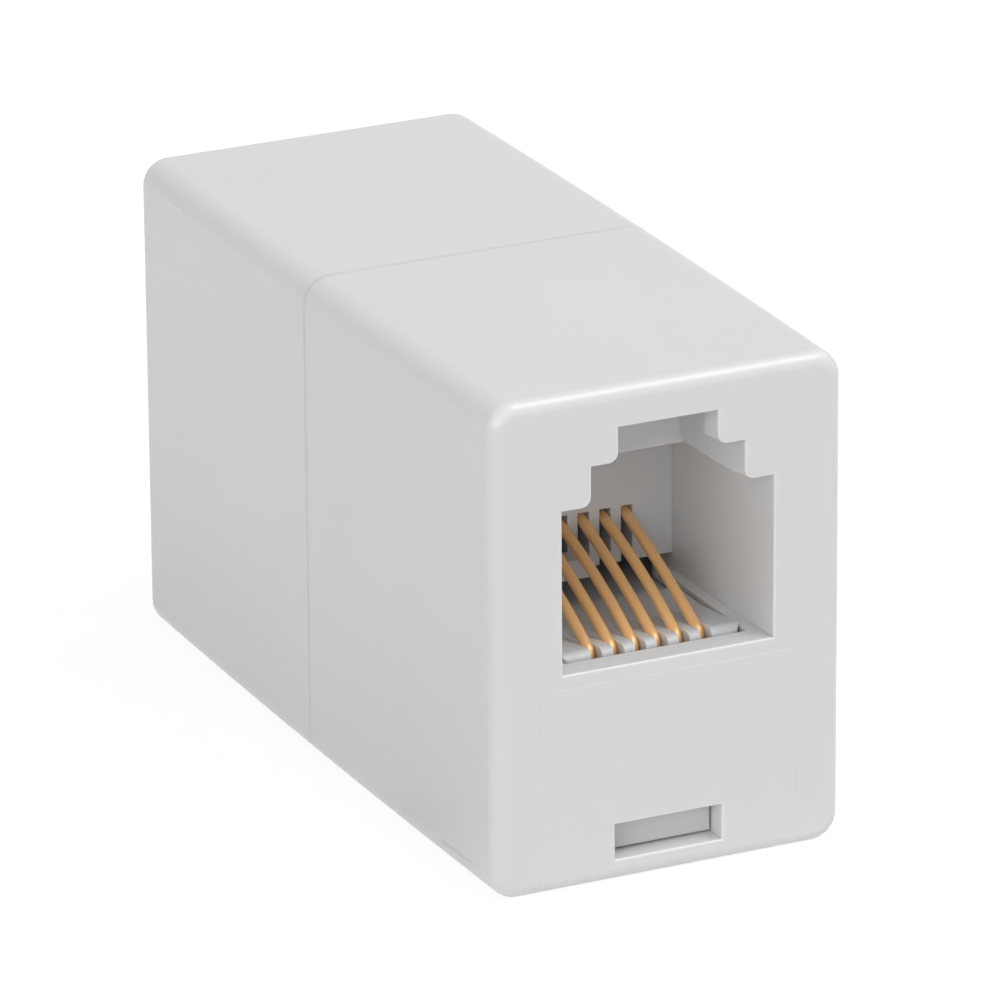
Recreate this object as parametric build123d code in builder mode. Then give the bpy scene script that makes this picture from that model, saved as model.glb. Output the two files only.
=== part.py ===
from build123d import *
import math
import os

# Telephone coupler: two six-position jacks back to back in one small moulded body.
# Frame: X across the jacks, Y along the body, Z up, origin under the middle of the body.
# All sizes are millimetres.

os.makedirs("parts", exist_ok=True)

FRONT = -1
REAR = 1

# Outside of the housing
body_width = 16.6
body_height = 22.0
body_length = 36.2
side_bow = 0.2
long_edge_radius = 1.2
end_edge_radius = 0.6
shell_wall = 1.5
bottom_wall = 1.0
half_length = body_length / 2

# Jack opening, heights above the bottom of the body
jack_width = 9.8
jack_floor = 9.7
jack_ledge = 16.95
keyway_width = 7.1
keyway_step = 18.7
keyway_mouth_width = 4.6
keyway_roof = 20.23
step_radius = 0.45
inner_step_radius = 0.12
mouth_edge_radius = 0.08

# Depths below the end face
face_wall = 1.3
keyway_depth = 5.9
comb_depth = 9.1
comb_wall = 1.0
side_draft = 0.2
ledge_draft = 0.4

# Six contact wires and the comb that guides their free ends
wire_count = 6
wire_pitch = 1.02
wire_diameter = 0.48
bend_radius = 0.45
bend_depth = 2.75
bend_height = 9.3
run_height = 8.08
low_wire_angle = 27.1
low_wire_spring_radius = 52.0
high_wire_angle = 29.8
high_wire_spring_radius = 29.0
spring_length = 7.5
comb_slot_width = 0.54
comb_bottom = 10.44
comb_slot_top = 12.95
comb_foot_depth = 8.0
comb_foot_top = 11.3

# Lower chamber that holds a contact block, its window in the floor, and the tongue's groove
floor_thickness = 0.63
window_front = 1.2
chamber_width = 12.0
chamber_bottom = 2.9
tongue_slot_width = 5.0
tongue_slot_top = 2.6
tongue_groove_end = 7.0

# Contact block
block_fit = 0.1
block_front = 1.55
block_end = 15.0
deck_width = 8.3
deck_end = 7.6
nose_peak = 9.92
nose_end = 5.1
nose_radius = 0.4
deck_corner_radius = 0.35
groove_clearance = 0.02
rib_depth = 0.1
block_wall = 1.2
web_thickness = 1.1
tongue_width = 4.4
tongue_slit = 0.4
tongue_start = 4.2
tongue_drop = 1.4
tongue_slit_end = 10.0
toe_front = 1.0
toe_back = 2.4

# Seam between the two housing halves
lip_thickness = 0.7
lip_length = 1.2
lip_fit = 0.05
seam_groove = 0.03
chamber_corner = 0.8

# Reach of a cut beyond the body, and how near two corners are when they are the same one
cut_margin = 1.0
same_place = 0.01

wire_radius = wire_diameter / 2
core_radius = bend_radius - wire_radius - groove_clearance
core_bottom = run_height + wire_radius + groove_clearance
deck_top = bend_height + core_radius
shelf_top = jack_floor - floor_thickness - block_fit
rib_bottom = run_height - wire_radius - rib_depth
block_width = chamber_width - 2 * block_fit
comb_back = comb_depth + comb_wall
wire_places = [(number - (wire_count - 1) / 2) * wire_pitch for number in range(wire_count)]


def jack_face(side, depth=0.0):
    """Plane across a jack at a depth below its end face: local x to the right, local y up."""
    place = (0, side * (half_length - depth), 0)
    return Plane(origin=place, x_dir=(-side, 0, 0), z_dir=(0, side, 0))


def side_view(side, across=0.0):
    """Plane along a jack: local x is the depth below its end face, local y is the height."""
    place = (-side * across, side * half_length, 0)
    return Plane(origin=place, x_dir=(0, -side, 0), z_dir=(-side, 0, 0))


def is_high(number):
    """Every second wire leaves its bend a little sooner and steeper than its neighbours."""
    return number % 2 == 0


def box_across(side, half_width, depths, heights, mode=Mode.ADD):
    """A block as wide as twice half_width, between two depths and two heights."""
    with BuildSketch(side_view(side)) as profile:
        with Locations(((depths[0] + depths[1]) / 2, (heights[0] + heights[1]) / 2)):
            Rectangle(depths[1] - depths[0], heights[1] - heights[0])
    extrude(profile.sketch, amount=half_width, both=True, mode=mode)


def outside(side):
    """Outer form of one half: bowed sides, rounded long edges and a softened jack end."""
    narrow = body_width / 2 - side_bow
    with BuildSketch() as plan:
        with BuildLine():
            right = ThreePointArc((narrow, -half_length), (body_width / 2, 0), (narrow, half_length))
            left = ThreePointArc((-narrow, half_length), (-body_width / 2, 0), (-narrow, -half_length))
            Line(right @ 1, left @ 0)
            Line(left @ 1, right @ 0)
        make_face()
    extrude(plan.sketch, amount=body_height)
    fillet(edges().filter_by(GeomType.CIRCLE), long_edge_radius)
    fillet(faces().sort_by(Axis.Y)[0 if side == FRONT else -1].edges(), end_edge_radius)
    split(bisect_by=Plane(origin=(0, 0, 0), z_dir=(0, side, 0)), keep=Keep.TOP)
    with BuildSketch(jack_face(side, half_length)) as seam:
        with Locations((0, body_height / 2)):
            Rectangle(body_width + cut_margin, body_height + cut_margin)
            RectangleRounded(
                body_width - 2 * seam_groove,
                body_height - 2 * seam_groove,
                long_edge_radius - seam_groove,
                mode=Mode.SUBTRACT,
            )
    extrude(seam.sketch, amount=seam_groove, mode=Mode.SUBTRACT)


def ledge_height(depth):
    """Height of the jack's shoulders, which drop a little from the mouth to the comb."""
    return jack_ledge - ledge_draft * depth / comb_depth


def opening_width(depth):
    """Width between the jack's side walls, which close in a little towards the comb."""
    return jack_width - 2 * side_draft * depth / comb_depth


def channel_section(side, depth):
    """Section of the main channel that takes the body of a plug."""
    top = ledge_height(depth)
    with BuildSketch(jack_face(side, depth)) as section:
        with Locations((0, (jack_floor + top) / 2)):
            Rectangle(opening_width(depth), top - jack_floor)
    return section.sketch


def keyway_section(side, depth, steps, corner_radius):
    """Section of the keyway for a plug's latch; steps are (width, top) from the ledge upwards."""
    shoulder = keyway_width / 2 + step_radius + mouth_edge_radius
    inside_channel = (jack_floor + jack_ledge) / 2
    outline = [(shoulder, inside_channel), (shoulder, ledge_height(depth))]
    for width, top in steps:
        outline += [(width / 2, outline[-1][1]), (width / 2, top)]
    outline += [(-x, z) for x, z in reversed(outline)]
    rounded = [(width / 2, base) for (width, _), base in zip(steps, [ledge_height(depth), keyway_step])]
    with BuildSketch(jack_face(side, depth)) as section:
        with BuildLine():
            Polyline(*outline, close=True)
        make_face()
        corners = [
            corner for corner in vertices()
            if any(math.dist((abs(corner.X), corner.Y), place) < same_place for place in rounded)
        ]
        fillet(corners, corner_radius)
    return section.sketch


def cut_jack(side):
    """Main channel and stepped keyway, open at the end face."""
    loft([channel_section(side, 0), channel_section(side, comb_depth)], mode=Mode.SUBTRACT)
    mouth = [(keyway_width, keyway_step), (keyway_mouth_width, keyway_roof)]
    inner = [(keyway_width, keyway_roof)]
    for near, near_radius, far, steps in (
        (0, step_radius, face_wall, mouth),
        (face_wall, inner_step_radius, keyway_depth, inner),
    ):
        sections = [
            keyway_section(side, near, steps, near_radius),
            keyway_section(side, far, steps, inner_step_radius),
        ]
        loft(sections, mode=Mode.SUBTRACT)


def add_comb_foot(side):
    """Thicker foot below the comb's left half, clear under the wires."""
    left = -opening_width(0) / 2
    right = wire_places[wire_count // 2] - comb_slot_width / 2
    with BuildSketch(jack_face(side, comb_foot_depth)) as foot:
        with Locations(((left + right) / 2, (comb_bottom + comb_foot_top) / 2)):
            Rectangle(right - left, comb_foot_top - comb_bottom)
    extrude(foot.sketch, amount=comb_foot_depth - comb_depth)


def cut_comb(side):
    """Slots for the wires' free ends, and the gap below the comb's teeth."""
    with BuildSketch(jack_face(side, comb_depth)) as slots:
        with Locations(*[(x, (comb_bottom + comb_slot_top) / 2) for x in wire_places]):
            Rectangle(comb_slot_width, comb_slot_top - comb_bottom)
        with Locations((0, (jack_floor + comb_bottom) / 2)):
            Rectangle(opening_width(comb_depth), comb_bottom - jack_floor)
    extrude(slots.sketch, amount=-comb_wall, mode=Mode.SUBTRACT)


def cut_chambers(side):
    """Hollow middle, lower chamber, window for the contact deck and groove for the tongue."""
    room = (body_width - 2 * shell_wall, body_height - 2 * shell_wall)
    with BuildSketch(jack_face(side, comb_back)) as middle:
        with Locations((0, body_height / 2)):
            RectangleRounded(*room, chamber_corner)
    extrude(middle.sketch, amount=comb_back - half_length, mode=Mode.SUBTRACT)
    chamber_top = jack_floor - floor_thickness
    deck_opening = deck_width / 2 + block_fit
    box_across(side, chamber_width / 2, (face_wall, comb_back), (chamber_bottom, chamber_top), Mode.SUBTRACT)
    box_across(side, deck_opening, (window_front, comb_back), (chamber_top, jack_floor), Mode.SUBTRACT)
    slot = tongue_slot_width / 2
    box_across(side, slot, (0, face_wall), (bottom_wall, tongue_slot_top), Mode.SUBTRACT)
    box_across(side, slot, (face_wall, tongue_groove_end), (bottom_wall, chamber_bottom), Mode.SUBTRACT)


def soften_mouth(side):
    """Small radius around the jack's mouth and the tongue slot on the end face."""
    end = faces().sort_by(Axis.Y)[0 if side == FRONT else -1]
    mouth_edges = ShapeList()
    for wire in end.inner_wires():
        mouth_edges += wire.edges()
    fillet(mouth_edges, mouth_edge_radius)


def seam_ring(growth, length):
    """Ring around the hollow middle at the seam, reaching from the seam towards the rear."""
    room = (body_width - 2 * shell_wall, body_height - 2 * shell_wall)
    with BuildSketch(Plane.XZ) as ring:
        with Locations((0, body_height / 2)):
            RectangleRounded(room[0] + 2 * growth, room[1] + 2 * growth, chamber_corner + growth)
            RectangleRounded(*room, chamber_corner, mode=Mode.SUBTRACT)
    return extrude(ring.sketch, amount=-length, mode=Mode.PRIVATE)


def housing_half(side):
    """One moulded half of the housing with its jack, comb and chambers."""
    outside(side)
    cut_jack(side)
    add_comb_foot(side)
    cut_chambers(side)
    cut_comb(side)
    soften_mouth(side)


with BuildPart() as front_housing:
    housing_half(FRONT)
    add(seam_ring(lip_thickness, lip_length))

with BuildPart() as rear_housing:
    housing_half(REAR)
    add(seam_ring(lip_thickness + lip_fit, lip_length + lip_fit), mode=Mode.SUBTRACT)


def raised_deck(side):
    """Deck that stands up through the window in the housing's floor, with a rounded nose."""
    with BuildSketch(side_view(side)) as profile:
        with BuildLine():
            Polyline(
                (block_front, shelf_top),
                (block_front, nose_peak),
                (nose_end, deck_top),
                (deck_end, deck_top),
                (deck_end, shelf_top),
                close=True,
            )
        make_face()
        fillet(vertices().sort_by(Axis.Y)[-1], nose_radius)
    extrude(profile.sketch, amount=deck_width / 2, both=True)
    deck_length = deck_end - block_front
    with BuildSketch(Plane.XY.offset(shelf_top)) as corners:
        with Locations((0, side * (half_length - block_front - deck_length / 2))):
            Rectangle(deck_width + cut_margin, deck_length + cut_margin)
            RectangleRounded(deck_width, deck_length, deck_corner_radius, mode=Mode.SUBTRACT)
    extrude(corners.sketch, amount=nose_peak - shelf_top, mode=Mode.SUBTRACT)


def wire_slots(side):
    """Cuts the slots in the nose and the grooves under the deck that the wires lie in."""
    for place in wire_places:
        with BuildSketch(side_view(side, -side * place)) as slot:
            with Locations(((block_front + block_end) / 2, (rib_bottom + nose_peak) / 2)):
                Rectangle(block_end - block_front, nose_peak - rib_bottom)
            core_front = bend_depth - core_radius
            with Locations(((core_front + block_end) / 2, (core_bottom + deck_top) / 2)):
                Rectangle(block_end - core_front, deck_top - core_bottom, mode=Mode.SUBTRACT)
            fillet(vertices().group_by(Axis.X)[1], core_radius)
        extrude(slot.sketch, amount=wire_radius + groove_clearance, both=True, mode=Mode.SUBTRACT)


def contact_block(side):
    """Moulded block that carries the wires: a nose with slots, a deck, side rails and a tongue."""
    with BuildSketch(jack_face(side, block_front)) as tube:
        with Locations((0, (chamber_bottom + shelf_top) / 2)):
            Rectangle(block_width, shelf_top - chamber_bottom)
        with Locations((0, (chamber_bottom + web_thickness + rib_bottom) / 2)):
            Rectangle(
                block_width - 2 * block_wall,
                rib_bottom - chamber_bottom - web_thickness,
                mode=Mode.SUBTRACT,
            )
    extrude(tube.sketch, amount=block_front - block_end)
    raised_deck(side)
    wire_slots(side)
    snap_tongue(side)


def snap_tongue(side):
    """Springy arm with a ramp that snaps behind the groove's end and a toe that fills the slot."""
    slit_place = (tongue_width + tongue_slit) / 2
    with BuildSketch(Plane.XY.offset(chamber_bottom)) as slits:
        with Locations(*[
            (x, side * (half_length - (block_front + tongue_slit_end) / 2))
            for x in (-slit_place, slit_place)
        ]):
            Rectangle(tongue_slit, tongue_slit_end - block_front)
    extrude(slits.sketch, amount=web_thickness, mode=Mode.SUBTRACT)
    heel = tongue_groove_end - block_fit
    with BuildSketch(side_view(side)) as ramp:
        with BuildLine():
            Polyline(
                (tongue_start, chamber_bottom),
                (heel, chamber_bottom - tongue_drop),
                (heel, chamber_bottom),
                close=True,
            )
        make_face()
    extrude(ramp.sketch, amount=tongue_width / 2, both=True)
    with BuildSketch(side_view(side)) as toe:
        with BuildLine():
            Polyline(
                (toe_front, bottom_wall + block_fit),
                (toe_front, tongue_slot_top - block_fit),
                (block_front, tongue_slot_top - block_fit),
                (block_front, chamber_bottom),
                (toe_back, chamber_bottom),
                (toe_back, bottom_wall + block_fit),
                close=True,
            )
        make_face()
    extrude(toe.sketch, amount=tongue_slot_width / 2 - block_fit, both=True)


with BuildPart() as front_contact_block:
    contact_block(FRONT)

with BuildPart() as rear_contact_block:
    contact_block(REAR)


def contact_wire(number, place):
    """One spring wire: run under the decks, up through the noses, and two sprung free ends."""
    high = is_high(number)
    launch = high_wire_angle if high else low_wire_angle
    spring_radius = high_wire_spring_radius if high else low_wire_spring_radius
    spring_turn = math.degrees(spring_length / spring_radius)
    reach = half_length - bend_depth
    with BuildPart() as wire:
        with BuildLine(Plane.YZ.offset(place)) as route:
            for side in (FRONT, REAR):
                front = side * (reach + bend_radius)
                run = Line((0, run_height), (side * reach, run_height))
                JernArc(run @ 1, run % 1, bend_radius, side * 90)
                leg = Line((front, run_height + bend_radius), (front, bend_height))
                bend = JernArc(leg @ 1, leg % 1, bend_radius, side * (90 - launch))
                JernArc(bend @ 1, bend % 1, spring_radius, side * spring_turn)
        path = route.wires()[0]
        with BuildSketch(Plane(origin=path @ 0, z_dir=path % 0)) as section:
            Circle(wire_radius)
        sweep(section.sketch, path=path)
    return wire


pieces = {
    "front_housing": front_housing,
    "rear_housing": rear_housing,
    "front_contact_block": front_contact_block,
    "rear_contact_block": rear_contact_block,
}
for number, place in enumerate(wire_places):
    pieces[f"contact_wire_{number + 1}"] = contact_wire(number, place)

for name, piece in pieces.items():
    piece.part.label = name
    export_step(piece.part, f"parts/{name}.step")
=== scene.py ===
# %% [markdown]
# # Telephone coupler
# A small white box that joins two telephone line cords end to end. It has a jack in each end,
# and six gold-coloured spring wires run from one jack to the other. The solids come from CAD
# as a fixed frame. This lesson gives them their looks: the wires are made new and round with
# Geometry Nodes, a fine weld bead fills the seam, and each finish is a procedural material.

import math

import bpy
from mathutils import Matrix, Vector


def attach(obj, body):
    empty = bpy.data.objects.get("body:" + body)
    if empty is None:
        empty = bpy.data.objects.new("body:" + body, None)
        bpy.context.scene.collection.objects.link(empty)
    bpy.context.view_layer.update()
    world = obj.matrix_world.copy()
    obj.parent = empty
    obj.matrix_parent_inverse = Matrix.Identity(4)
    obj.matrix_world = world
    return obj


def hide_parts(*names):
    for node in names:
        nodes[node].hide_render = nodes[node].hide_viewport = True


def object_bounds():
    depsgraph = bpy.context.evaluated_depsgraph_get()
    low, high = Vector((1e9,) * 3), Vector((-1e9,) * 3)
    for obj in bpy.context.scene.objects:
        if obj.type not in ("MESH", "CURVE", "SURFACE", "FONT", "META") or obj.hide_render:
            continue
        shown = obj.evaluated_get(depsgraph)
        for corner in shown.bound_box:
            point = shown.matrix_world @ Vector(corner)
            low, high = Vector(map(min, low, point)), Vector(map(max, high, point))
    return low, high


MM = 0.001
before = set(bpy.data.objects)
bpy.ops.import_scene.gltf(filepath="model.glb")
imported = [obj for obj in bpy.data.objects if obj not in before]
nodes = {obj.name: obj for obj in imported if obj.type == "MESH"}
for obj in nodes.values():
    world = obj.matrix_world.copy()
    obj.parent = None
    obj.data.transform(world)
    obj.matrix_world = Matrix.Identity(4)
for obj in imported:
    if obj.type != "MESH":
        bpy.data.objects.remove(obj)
cad_low, cad_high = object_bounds()
scene = bpy.context.scene
print("frame:", len(nodes), "nodes, size in mm", [round(v / MM, 2) for v in cad_high - cad_low])


# %% Helper that puts an object in the scene
def add_object(name, data):
    thing = bpy.data.objects.new(name, data)
    scene.collection.objects.link(thing)
    return thing


# %% [markdown]
# ## Camera
# The coupler is seen from its left front and a little above. Its edges stay almost parallel,
# which takes a long lens from far off. An empty to track would also aim the camera, but plain
# angles are easier to read: azimuth round the object, elevation above the floor, and a roll.

# %% Camera axes from its angles
camera_azimuth = math.radians(-25.26)
camera_elevation = math.radians(20.56)
camera_roll = math.radians(-0.466)
camera_distance = 378.1 * MM
aim_right = 0.79 * MM
aim_up = -0.40 * MM
body_middle = (cad_low + cad_high) / 2

level = math.cos(camera_elevation)
back = Vector((
    math.sin(camera_azimuth) * level,
    -math.cos(camera_azimuth) * level,
    math.sin(camera_elevation),
))
flat_right = (-back).cross(Vector((0, 0, 1))).normalized()
roll = Matrix.Rotation(camera_roll, 3, back)
right = roll @ flat_right
up = roll @ flat_right.cross(-back)
look = (right * aim_right + up * aim_up - back * camera_distance).normalized()
side = (right - look * right.dot(look)).normalized()
turn = Matrix((side, side.cross(look), -look)).transposed()
print("camera looks along", [round(v, 3) for v in look])

# %% Camera
# Blender gives a lens and a sensor in millimetres, and everything else here is in metres.
lens_length = 314.5
sensor_width = 36.0
clip_near = 10 * MM
clip_far = 20.0

camera_data = bpy.data.cameras.new("camera")
camera_data.lens = lens_length
camera_data.sensor_width = sensor_width
camera_data.clip_start = clip_near
camera_data.clip_end = clip_far
camera = add_object("camera", camera_data)
camera.matrix_world = Matrix.Translation(body_middle + back * camera_distance) @ turn.to_4x4()
scene.camera = camera
print("camera at", [round(v / MM, 1) for v in camera.matrix_world.translation], "mm")

# %% [markdown]
# ## Node helpers
# Materials and Geometry Nodes are both graphs of nodes. A few short helpers keep the later
# cells easy to read: one adds a node with its settings, one fills a socket with a value or a
# link, one adds a Math node, and two more start a tree and mix two shaders. Long lists of raw
# calls would do the same but hide the idea.


# %% Helpers for nodes
def add_node(tree, kind, **settings):
    node = tree.nodes.new(kind)
    for name, value in settings.items():
        setattr(node, name, value)
    return node


def feed(tree, socket, value):
    if isinstance(value, bpy.types.NodeSocket):
        tree.links.new(value, socket)
    else:
        socket.default_value = value


def math_node(tree, operation, *values):
    node = add_node(tree, "ShaderNodeMath", operation=operation)
    for socket, value in zip(node.inputs, values):
        feed(tree, socket, value)
    return node.outputs[0]


# %% Helpers for shaders
def empty_tree(owner):
    owner.use_nodes = True
    owner.node_tree.nodes.clear()
    return owner.node_tree


def mix_shaders(tree, factor, first, second):
    mix = add_node(tree, "ShaderNodeMixShader")
    for socket, value in zip(mix.inputs, (factor, first.outputs[0], second.outputs[0])):
        feed(tree, socket, value)
    return mix.outputs[0]


# %% [markdown]
# ## Floor and light
# The coupler stands on a white table top in a soft white studio. The floor is mostly a plain
# white glow for the camera and for shiny metal, and partly a real lit surface, so the soft
# shadow under the part stays. The world is white behind it, and gives the object a gentle
# light from all round. Six soft lamps of one size then set the tones. The strongest one hangs
# over the front right, where only the short edge between top and front mirrors it, so that
# edge shines and the long ones stay soft. One or two large lamps would be simpler, but they
# light the jack's inner walls too evenly.


# %% Light Path switch
# It is 1 for a ray that shows the background itself, and 0 for one that lights the part.
def seen_plainly(tree):
    path = add_node(tree, "ShaderNodeLightPath")
    seen = math_node(tree, "ADD", path.outputs["Is Camera Ray"], path.outputs["Is Glossy Ray"])
    seen = math_node(tree, "ADD", seen, path.outputs["Is Transmission Ray"])
    return math_node(tree, "MINIMUM", seen, 1.0)


# %% Floor
floor_half = 3.0
floor_grey = 0.82
floor_glow = 0.72
floor_shine_strength = 1.2

floor_material = bpy.data.materials.new("white_table")
floor_tree = empty_tree(floor_material)
floor_lit = add_node(floor_tree, "ShaderNodeBsdfDiffuse")
floor_lit.inputs["Color"].default_value = (floor_grey, floor_grey, floor_grey, 1)
floor_shine = add_node(floor_tree, "ShaderNodeEmission")
floor_shine.inputs["Strength"].default_value = floor_shine_strength
floor_switch = math_node(floor_tree, "MULTIPLY", seen_plainly(floor_tree), floor_glow)
floor_surface = mix_shaders(floor_tree, floor_switch, floor_lit, floor_shine)
feed(floor_tree, add_node(floor_tree, "ShaderNodeOutputMaterial").inputs["Surface"], floor_surface)

floor_corners = [
    (sign_x * floor_half, sign_y * floor_half, 0.0)
    for sign_x, sign_y in ((-1, -1), (1, -1), (1, 1), (-1, 1))
]
floor_mesh = bpy.data.meshes.new("table_top")
floor_mesh.from_pydata(floor_corners, [], [(0, 1, 2, 3)])
floor_mesh.materials.append(floor_material)
floor = add_object("table_top", floor_mesh)
print("floor:", 2 * floor_half, "m wide")

# %% World
around_strength = 0.33
behind_strength = 1.0

world = bpy.data.worlds.new("white_studio")
scene.world = world
world_tree = empty_tree(world)
around = add_node(world_tree, "ShaderNodeBackground")
around.inputs["Strength"].default_value = around_strength
behind = add_node(world_tree, "ShaderNodeBackground")
behind.inputs["Color"].default_value = (1, 1, 1, 1)
behind.inputs["Strength"].default_value = behind_strength
world_surface = mix_shaders(world_tree, seen_plainly(world_tree), around, behind)
feed(world_tree, add_node(world_tree, "ShaderNodeOutputWorld").inputs["Surface"], world_surface)
print("world:", world.name)

# %% Soft lamps
# Each lamp has its place in metres and its power in watts. All of them face the body.
lamp_width = 0.5
lamps = {
    "lamp_front_over": ((0.36, -0.32, 0.77), 3.68),
    "lamp_front_left": ((-0.66, -0.53, 0.31), 2.00),
    "lamp_right_high": ((0.63, 0.09, 0.63), 1.24),
    "lamp_front_high": ((-0.04, -0.67, 0.59), 0.88),
    "lamp_left": ((-0.86, -0.09, 0.26), 1.00),
    "lamp_front": ((-0.36, -0.78, 0.27), 0.62),
}
for name, (place, power) in lamps.items():
    lamp_data = bpy.data.lights.new(name, "AREA")
    lamp_data.shape = "DISK"
    lamp_data.size = lamp_width
    lamp_data.energy = power
    lamp = add_object(name, lamp_data)
    lamp.location = place
    lamp.rotation_mode = "QUATERNION"
    lamp.rotation_quaternion = (Vector(place) - body_middle).to_track_quat("Z", "Y")
    lamp.visible_camera = False
scene.view_settings.view_transform = "Standard"
print("lamps:", ", ".join(lamps))

# %% [markdown]
# ## Moulded skin
# A moulded plastic face isn't perfectly flat or even. It has a very fine grain from the
# mould's polish, and slow waves where the wall shrank as it cooled. Both housings and both
# contact blocks share the effect, so it is a node group: built once, with its sizes as
# inputs. It puts out a height for a Bump node, a mask for the colour and one for the gloss.


# %% Helpers for groups and noise
def new_group(name, inputs, outputs):
    tree = bpy.data.node_groups.new(name, "ShaderNodeTree")
    for label, value in inputs.items():
        socket = tree.interface.new_socket(label, in_out="INPUT", socket_type="NodeSocketFloat")
        socket.default_value = value
    for label in outputs:
        tree.interface.new_socket(label, in_out="OUTPUT", socket_type="NodeSocketFloat")
    return tree, add_node(tree, "NodeGroupInput"), add_node(tree, "NodeGroupOutput")


def object_place(tree):
    return add_node(tree, "ShaderNodeTexCoord").outputs["Object"]


def noise(tree, place, scale, detail):
    node = add_node(tree, "ShaderNodeTexNoise")
    feed(tree, node.inputs["Vector"], place)
    feed(tree, node.inputs["Scale"], scale)
    feed(tree, node.inputs["Detail"], detail)
    return node.outputs["Fac"]


# %% Group for the moulded skin
# A noise scale is in cells per metre, so 5000 is a grain of a fifth of a millimetre.
grain_detail = 2.0
wave_detail = 3.0
gloss_from_each = 0.5

skin, skin_in, skin_out = new_group(
    "moulded_skin",
    {"Grain Scale": 5000.0, "Wave Scale": 90.0, "Grain Share": 0.3},
    ["Height", "Shade", "Gloss"],
)
skin_place = object_place(skin)
grain = noise(skin, skin_place, skin_in.outputs["Grain Scale"], grain_detail)
wave = noise(skin, skin_place, skin_in.outputs["Wave Scale"], wave_detail)
grain_part = math_node(skin, "MULTIPLY", grain, skin_in.outputs["Grain Share"])
wave_gloss = math_node(skin, "MULTIPLY", wave, gloss_from_each)
skin_gloss = math_node(skin, "MULTIPLY_ADD", grain, gloss_from_each, wave_gloss)
feed(skin, skin_out.inputs["Height"], math_node(skin, "ADD", grain_part, wave))
feed(skin, skin_out.inputs["Shade"], wave)
feed(skin, skin_out.inputs["Gloss"], skin_gloss)
print("group:", skin.name, [s.name for s in skin.interface.items_tree])

# %% [markdown]
# ## Witness of the chamber
# Behind the lower half of each end face the wall is hollow, and the face stands a couple of
# hundredths of a millimetre prouder there. Its edges show as a faint line under the mouth
# and one at each side. That is far too fine for the mesh, so it is a height for the Bump
# node: one where the face is proud, nought outside, with a narrow ramp between. The field
# starts below the underside, so it has no lower edge, and its two side lines run on along
# the underside, as faint as on the end faces.


# %% Group for the proud field
def axis_mask(tree, place, middle, half, ramp):
    offset = math_node(tree, "ABSOLUTE", math_node(tree, "SUBTRACT", place, middle))
    inside = math_node(tree, "DIVIDE", math_node(tree, "SUBTRACT", half, offset), ramp)
    return math_node(tree, "MINIMUM", math_node(tree, "MAXIMUM", inside, 0.0), 1.0)


field, field_in, field_out = new_group(
    "proud_field",
    {
        "Half Width": 6.0 * MM,
        "Middle Height": 4.04 * MM,
        "Half Height": 5.04 * MM,
        "Ramp": 0.06 * MM,
    },
    ["Height"],
)
field_place = add_node(field, "ShaderNodeSeparateXYZ")
feed(field, field_place.inputs[0], object_place(field))
sizes = field_in.outputs
field_across = axis_mask(
    field, field_place.outputs["X"], 0.0, sizes["Half Width"], sizes["Ramp"]
)
field_up = axis_mask(
    field, field_place.outputs["Z"], sizes["Middle Height"], sizes["Half Height"], sizes["Ramp"]
)
feed(field, field_out.inputs["Height"], math_node(field, "MULTIPLY", field_across, field_up))
print("group:", field.name, [s.name for s in field.interface.items_tree])

# %% [markdown]
# ## White plastic
# The housing is a glossy white plastic with a satin skin. The contact blocks are moulded from
# a slightly greyer grade of it. Both are a Principled shader whose colour moves a little
# between two near whites with the group's mask, and whose roughness follows the other mask.
# Light goes a little way into such plastic, so subsurface scattering softens its edges. The
# weld in the seam is a film far thinner than that way, so it has the same finish without it.


# %% Helpers that spread a mask over two colours or two values
# Sockets 6 and 7 and output 2 are the ones that a Mix node uses for colours.
def colour_between(tree, mask, first, second):
    mix = add_node(tree, "ShaderNodeMix", data_type="RGBA")
    feed(tree, mix.inputs["Factor"], mask)
    feed(tree, mix.inputs[6], (*first, 1.0))
    feed(tree, mix.inputs[7], (*second, 1.0))
    return mix.outputs[2]


def value_between(tree, mask, low, high):
    spread = add_node(tree, "ShaderNodeMapRange")
    feed(tree, spread.inputs["Value"], mask)
    feed(tree, spread.inputs["To Min"], low)
    feed(tree, spread.inputs["To Max"], high)
    return spread.outputs["Result"]


def bump_normal(tree, height, strength, distance):
    bump = add_node(tree, "ShaderNodeBump")
    bump.inputs["Strength"].default_value = strength
    bump.inputs["Distance"].default_value = distance
    feed(tree, bump.inputs["Height"], height)
    return bump.outputs["Normal"]


# %% Moulded plastic with its own colours and gloss
light_reach = 0.2 * MM
skin_depth = 0.012 * MM
skin_strength = 0.35
plastic_ior = 1.5


def moulded_plastic(name, first, second, gloss, reach_share=1.0, field_share=0.0):
    material = bpy.data.materials.new(name)
    material.use_nodes = True
    tree = material.node_tree
    shader = tree.nodes["Principled BSDF"]
    surface = add_node(tree, "ShaderNodeGroup", node_tree=skin).outputs
    height = surface["Height"]
    if field_share:
        proud = add_node(tree, "ShaderNodeGroup", node_tree=field).outputs["Height"]
        height = math_node(tree, "MULTIPLY_ADD", proud, field_share, height)
    colour = colour_between(tree, surface["Shade"], first, second)
    feed(tree, shader.inputs["Base Color"], colour)
    feed(tree, shader.inputs["Roughness"], value_between(tree, surface["Gloss"], *gloss))
    feed(tree, shader.inputs["Normal"], bump_normal(tree, height, skin_strength, skin_depth))
    shader.inputs["IOR"].default_value = plastic_ior
    shader.inputs["Subsurface Weight"].default_value = reach_share
    shader.inputs["Subsurface Radius"].default_value = (1.0, 1.0, 1.0)
    shader.inputs["Subsurface Scale"].default_value = light_reach
    return material


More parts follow.
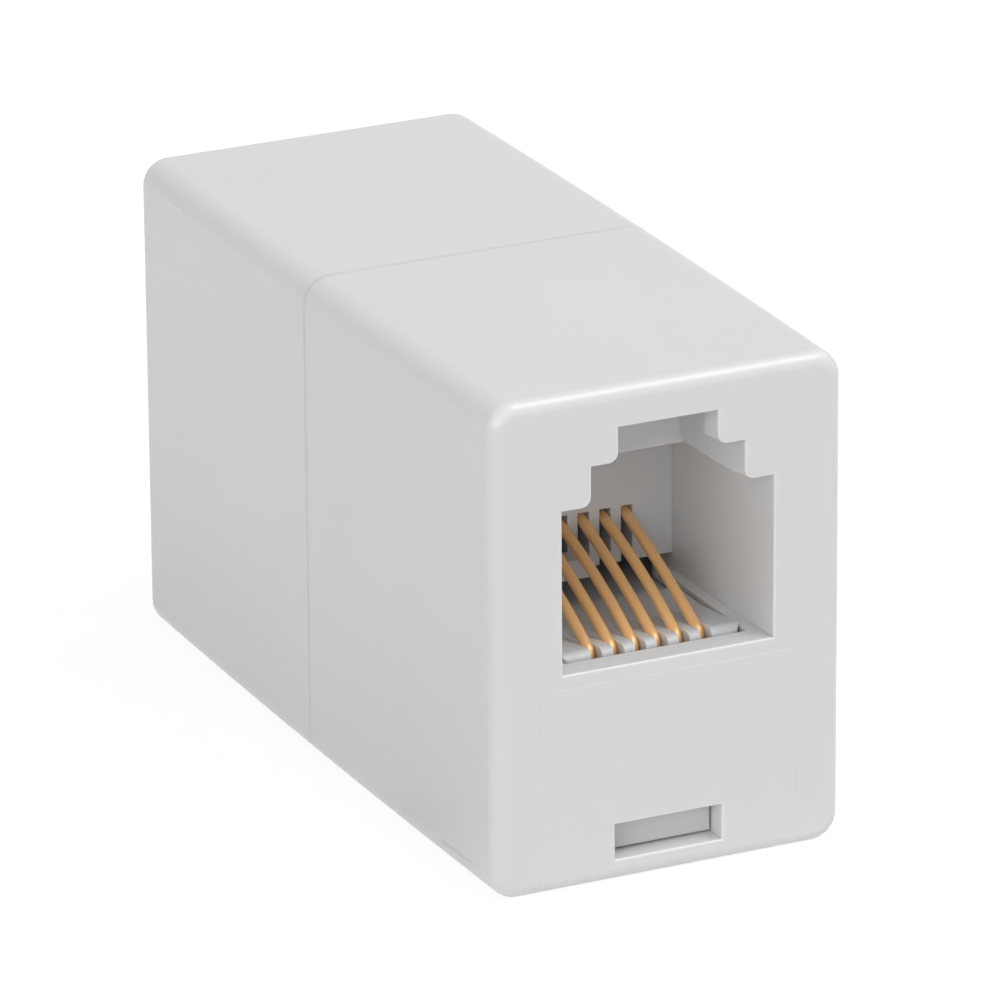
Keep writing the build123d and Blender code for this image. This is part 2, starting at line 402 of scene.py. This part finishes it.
# %% Materials for the moulded pieces
housing_white = ((0.722, 0.724, 0.729), (0.702, 0.704, 0.709))
carrier_white = ((0.655, 0.66, 0.67), (0.625, 0.63, 0.64))
housing_gloss = (0.26, 0.36)
carrier_gloss = (0.32, 0.44)
weld_gloss = (0.34, 0.44)
proud_share = 4.0

housing_plastic = moulded_plastic(
    "housing_plastic", *housing_white, housing_gloss, field_share=proud_share
)
carrier_plastic = moulded_plastic("carrier_plastic", *carrier_white, carrier_gloss)
weld_plastic = moulded_plastic("weld_plastic", *housing_white, weld_gloss, reach_share=0.0)
print("materials:", housing_plastic.name, carrier_plastic.name, weld_plastic.name)

# %% [markdown]
# ## Gold-plated wire
# The contact wires are drawn through a die and plated with gold. Drawing leaves faint lines
# along the wire, and the plating has slow changes of tone. The wires' own mesh carries two
# attributes, the way along it and the way round it, so the lines follow each bend. Such thin
# satin plating looks soft and almost matt inside the jack, so the metal's share is low and a
# light coat gives the small bright spots at the bends.

# %% Die lines and plating on the wire
# The way along is in metres and the way round goes from 0 to 1. A line's noise cell is so
# much longer than it is wide that it reads as a scratch along the wire.
cells_per_metre = 400.0
cells_round_wire = 14.0
line_detail = 3.0
plating_scale = 700.0
plating_detail = 2.0

wire_gold = bpy.data.materials.new("wire_gold")
wire_gold.use_nodes = True
gold_tree = wire_gold.node_tree
lay = add_node(gold_tree, "ShaderNodeCombineXYZ")
for axis, attribute, cells in (
    ("X", "way_along", cells_per_metre),
    ("Y", "way_round", cells_round_wire),
):
    way_over_wire = add_node(gold_tree, "ShaderNodeAttribute", attribute_name=attribute)
    stretched = math_node(gold_tree, "MULTIPLY", way_over_wire.outputs["Fac"], cells)
    feed(gold_tree, lay.inputs[axis], stretched)
die_lines = noise(gold_tree, lay.outputs[0], 1.0, line_detail)
plating = noise(gold_tree, object_place(gold_tree), plating_scale, plating_detail)
print("wire material:", len(gold_tree.nodes), "nodes so far")

# %% Material for the contact wires
gold_colours = ((1.0, 0.60, 0.26), (0.96, 0.55, 0.23))
gold_roughness = (0.30, 0.44)
line_strength = 0.3
line_depth = 0.01 * MM

gold = gold_tree.nodes["Principled BSDF"]
gold_colour = colour_between(gold_tree, plating, *gold_colours)
gold_normal = bump_normal(gold_tree, die_lines, line_strength, line_depth)
feed(gold_tree, gold.inputs["Base Color"], gold_colour)
feed(gold_tree, gold.inputs["Roughness"], value_between(gold_tree, die_lines, *gold_roughness))
feed(gold_tree, gold.inputs["Normal"], gold_normal)
gold.inputs["Metallic"].default_value = 0.3
gold.inputs["Coat Weight"].default_value = 0.3
gold.inputs["Coat Roughness"].default_value = 0.18
print("material:", wire_gold.name)

# %% [markdown]
# ## Contact wires
# Each wire is one piece from jack to jack. It runs straight under the two decks, bends round
# the nose of its contact block, and springs up and back to the comb. Every second wire leaves
# its bend a little sooner and steeper. The two routes are plain chains of points worked out
# from the arcs. Geometry Nodes then sets them out six times at the contacts' pitch, sweeps a
# circle along each and joins it all. Six curve objects would also do, but then the count and
# the pitch would be copied six times.

# %% Sizes of the wires
wire_count = 6
wire_pitch = 1.02 * MM
wire_radius = 0.24 * MM
wire_sides = 28
bend_radius = 0.45 * MM
bend_depth = 2.75 * MM
bend_height = 9.30 * MM
run_height = 8.08 * MM
spring_length = 7.5 * MM
half_length = 18.1 * MM
bend_steps, launch_steps, spring_steps = 24, 20, 14
wire_forms = {
    "high": {"angle": 29.8, "radius": 29.0 * MM},
    "low": {"angle": 27.1, "radius": 52.0 * MM},
}
print("wires:", wire_count, "at a pitch of", wire_pitch / MM, "mm")


# %% Routes of the two wire forms
# Each stretch has its length, the angle that it turns and its number of steps.
def half_route(angle, radius):
    launch_turn = math.radians(90 - angle)
    stretches = (
        (bend_radius * math.pi / 2, math.pi / 2, bend_steps),
        (bend_height - run_height - bend_radius, 0.0, 1),
        (bend_radius * launch_turn, launch_turn, launch_steps),
        (spring_length, spring_length / radius, spring_steps),
    )
    points = [Vector((0, half_length - bend_depth, run_height))]
    heading = 0.0
    for length, turn_total, steps in stretches:
        half_step = turn_total / steps / 2
        chord = length / steps * (math.sin(half_step) / half_step if half_step else 1.0)
        for _ in range(steps):
            way = heading + half_step
            points.append(points[-1] + chord * Vector((0, math.cos(way), math.sin(way))))
            heading += 2 * half_step
    return points


def wire_route(form):
    far = half_route(**form)
    near = [Vector((0, -p.y, p.z)) for p in reversed(far)]
    return near + far


routes = [wire_route(form) for form in wire_forms.values()]
tops = [round(route[0].z / MM, 2) for route in routes]
print("routes:", [len(route) for route in routes], "points, tops at", tops, "mm")

# %% Mesh chains that carry the routes
route_mesh = bpy.data.meshes.new("wire_routes")
route_points, route_edges = [], []
for route in routes:
    first = len(route_points)
    route_points += [tuple(p) for p in route]
    route_edges += [(first + k, first + k + 1) for k in range(len(route) - 1)]
route_mesh.from_pydata(route_points, route_edges, [])
wires_object = add_object("contact_wires", route_mesh)
print("chains:", len(route_points), "points")


# %% Tree with the wires' sizes as its inputs
def geometry_tree(name, inputs):
    tree = bpy.data.node_groups.new(name, "GeometryNodeTree")
    tree.interface.new_socket("Geometry", in_out="INPUT", socket_type="NodeSocketGeometry")
    for label, (kind, value) in inputs.items():
        socket = tree.interface.new_socket(label, in_out="INPUT", socket_type=kind)
        if value is not None:
            socket.default_value = value
    tree.interface.new_socket("Geometry", in_out="OUTPUT", socket_type="NodeSocketGeometry")
    return tree, add_node(tree, "NodeGroupInput"), add_node(tree, "NodeGroupOutput")


wires_tree, wires_in, wires_out = geometry_tree("set_out_wires", {
    "Count": ("NodeSocketInt", wire_count),
    "Pitch": ("NodeSocketFloat", wire_pitch),
    "Wire Radius": ("NodeSocketFloat", wire_radius),
    "Sides": ("NodeSocketInt", wire_sides),
    "Material": ("NodeSocketMaterial", None),
})
wanted = wires_in.outputs
print("tree:", wires_tree.name, [socket.name for socket in wanted if socket.name])

# %% Row of places, one for each wire
row_start = add_node(wires_tree, "ShaderNodeCombineXYZ")
gaps = math_node(wires_tree, "SUBTRACT", wanted["Count"], 1.0)
row_width = math_node(wires_tree, "MULTIPLY", gaps, wanted["Pitch"])
feed(wires_tree, row_start.inputs["X"], math_node(wires_tree, "MULTIPLY", row_width, -0.5))
row_step = add_node(wires_tree, "ShaderNodeCombineXYZ")
feed(wires_tree, row_step.inputs["X"], wanted["Pitch"])
row = add_node(wires_tree, "GeometryNodeMeshLine", mode="OFFSET")
feed(wires_tree, row.inputs["Count"], wanted["Count"])
feed(wires_tree, row.inputs["Start Location"], row_start.outputs[0])
feed(wires_tree, row.inputs["Offset"], row_step.outputs[0])
print("row:", len(wires_tree.nodes), "nodes so far")

# %% The two forms take turns along the row
# Sockets 2 and 3 are the ones that a Compare node uses for whole numbers.
near_enough = 0.1
chains = add_node(wires_tree, "GeometryNodeMeshToCurve")
feed(wires_tree, chains.inputs["Mesh"], wanted["Geometry"])
form_number = add_node(wires_tree, "GeometryNodeInputIndex").outputs[0]
joined = add_node(wires_tree, "GeometryNodeJoinGeometry")
for form_index in range(len(routes)):
    pick = add_node(wires_tree, "FunctionNodeCompare", data_type="INT", operation="EQUAL")
    feed(wires_tree, pick.inputs[2], form_number)
    feed(wires_tree, pick.inputs[3], form_index)
    one_form = add_node(wires_tree, "GeometryNodeSeparateGeometry", domain="CURVE")
    feed(wires_tree, one_form.inputs["Geometry"], chains.outputs["Curve"])
    feed(wires_tree, one_form.inputs["Selection"], pick.outputs[0])
    every_second = math_node(wires_tree, "MODULO", form_number, float(len(routes)))
    turn_of_form = math_node(
        wires_tree, "COMPARE", every_second, float(form_index), near_enough
    )
    placed = add_node(wires_tree, "GeometryNodeInstanceOnPoints")
    feed(wires_tree, placed.inputs["Points"], row.outputs["Mesh"])
    feed(wires_tree, placed.inputs["Selection"], turn_of_form)
    feed(wires_tree, placed.inputs["Instance"], one_form.outputs["Selection"])
    feed(wires_tree, joined.inputs["Geometry"], placed.outputs["Instances"])
made_real = add_node(wires_tree, "GeometryNodeRealizeInstances")
feed(wires_tree, made_real.inputs["Geometry"], joined.outputs["Geometry"])
print("turns:", len(wires_tree.nodes), "nodes so far")


# %% Sweep of a circle, with the way along and the way round kept
def keep_attribute(tree, geometry, name, value):
    store = add_node(tree, "GeometryNodeStoreNamedAttribute", data_type="FLOAT", domain="POINT")
    feed(tree, store.inputs["Geometry"], geometry)
    feed(tree, store.inputs["Name"], name)
    feed(tree, store.inputs["Value"], value)
    return store.outputs["Geometry"]


way = add_node(wires_tree, "GeometryNodeSplineParameter").outputs
ring = add_node(wires_tree, "GeometryNodeCurvePrimitiveCircle", mode="RADIUS")
feed(wires_tree, ring.inputs["Resolution"], wanted["Sides"])
feed(wires_tree, ring.inputs["Radius"], wanted["Wire Radius"])
long_way = keep_attribute(wires_tree, made_real.outputs["Geometry"], "way_along", way["Length"])
round_way = keep_attribute(wires_tree, ring.outputs["Curve"], "way_round", way["Factor"])
swept = add_node(wires_tree, "GeometryNodeCurveToMesh")
feed(wires_tree, swept.inputs["Curve"], long_way)
feed(wires_tree, swept.inputs["Profile Curve"], round_way)
feed(wires_tree, swept.inputs["Fill Caps"], True)
real_wires = add_node(wires_tree, "GeometryNodeRealizeInstances")
feed(wires_tree, real_wires.inputs["Geometry"], swept.outputs["Mesh"])
painted = add_node(wires_tree, "GeometryNodeSetMaterial")
feed(wires_tree, painted.inputs["Geometry"], real_wires.outputs["Geometry"])
feed(wires_tree, painted.inputs["Material"], wanted["Material"])
feed(wires_tree, wires_out.inputs["Geometry"], painted.outputs["Geometry"])
print("tree:", wires_tree.name, len(wires_tree.nodes), "nodes")


# %% Plain mesh from the tree
def run_tree(target, tree, values):
    modifier = target.modifiers.new(tree.name, "NODES")
    modifier.node_group = tree
    for item in tree.interface.items_tree:
        if item.in_out == "INPUT" and item.name in values:
            modifier[item.identifier] = values[item.name]
    graph = bpy.context.evaluated_depsgraph_get()
    result = bpy.data.meshes.new_from_object(target.evaluated_get(graph))
    target.modifiers.remove(modifier)
    target.data = result
    return result


wire_sharp_angle = math.radians(50)
wires_mesh = run_tree(wires_object, wires_tree, {"Material": wire_gold})
wires_mesh.shade_smooth()
wires_mesh.set_sharp_from_angle(angle=wire_sharp_angle)
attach(wires_object, "root")
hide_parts(*[f"contact_wire_{k + 1}" for k in range(wire_count)])
print("wires:", len(wires_mesh.polygons), "faces")

# %% [markdown]
# ## Weld bead
# The two halves of the housing are welded together. A little plastic melts there and rises
# in the fine groove round the seam, so from outside the seam is only a faint line. The bead
# is one closed band: a small crowned section, carried round the body's rounded outline in
# plain mesh code. A bevelled curve would do too, but it can't give a section with flat sides.

# %% Outline of the body at a depth under its skin
body_width = 16.6 * MM
body_height = 22.0 * MM
long_edge_radius = 1.2 * MM
corner_steps = 10


def outline_point(sign_x, sign_z, angle, depth):
    radius = long_edge_radius - depth
    x = sign_x * (body_width / 2 - long_edge_radius) + radius * math.cos(angle)
    z = body_height / 2 + sign_z * (body_height / 2 - long_edge_radius) + radius * math.sin(angle)
    return x, z


corner_turns = [
    (sign_x, sign_z, math.radians(start + 90 * step / corner_steps))
    for sign_x, sign_z, start in ((1, 1, 0), (-1, 1, 90), (-1, -1, 180), (1, -1, 270))
    for step in range(corner_steps + 1)
]
print("outline:", len(corner_turns), "points")

# %% Points of the band in the seam's groove
# The groove is as deep as half its width. The crown is the depth of the bead's highest line
# under the body's skin, and the bead falls away from it to the groove's walls.
groove = 0.03 * MM
crown = 0.0015 * MM
flank = 1.4 * crown
edge = 3 * crown
bead_section = [
    (-groove, groove), (-groove, edge), (-groove / 2, flank), (0.0, crown),
    (groove / 2, flank), (groove, edge), (groove, groove),
]
bead_points = []
for sign_x, sign_z, angle in corner_turns:
    for y, depth in bead_section:
        x, z = outline_point(sign_x, sign_z, angle, depth)
        bead_points.append((x, y, z))
print("bead:", len(bead_points), "points")

# %% Closed band of faces over the points
across, rounds = len(bead_section), len(corner_turns)
bead_faces = [
    (
        k * across + j,
        k * across + (j + 1) % across,
        (k + 1) % rounds * across + (j + 1) % across,
        (k + 1) % rounds * across + j,
    )
    for k in range(rounds)
    for j in range(across)
]
bead_sharp_angle = math.radians(40)
bead_mesh = bpy.data.meshes.new("weld_bead")
bead_mesh.from_pydata(bead_points, [], bead_faces)
bead_mesh.materials.append(weld_plastic)
bead_mesh.shade_smooth()
bead_mesh.set_sharp_from_angle(angle=bead_sharp_angle)
weld_bead = add_object("weld_bead", bead_mesh)
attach(weld_bead, "root")
first_normal = [round(v, 2) for v in bead_mesh.polygons[0].normal]
print("weld bead:", len(bead_faces), "faces, first normal", first_normal)

# %% [markdown]
# ## Moulded pieces
# The two housing halves and the two contact blocks are plain injection mouldings with flat
# walls and small round edges. They could be modelled again here with bevels, but their solids
# from CAD already have the real edges, steps and slots. So each keeps its mesh and only gets
# its finish, in place of the plain one that came with the frame.

# %% Finishes on the CAD nodes
finishes = {
    "front_housing": housing_plastic,
    "rear_housing": housing_plastic,
    "front_contact_block": carrier_plastic,
    "rear_contact_block": carrier_plastic,
}
for name, material in finishes.items():
    nodes[name].data.materials.clear()
    nodes[name].data.materials.append(material)
    print("finish:", name, "has", material.name)
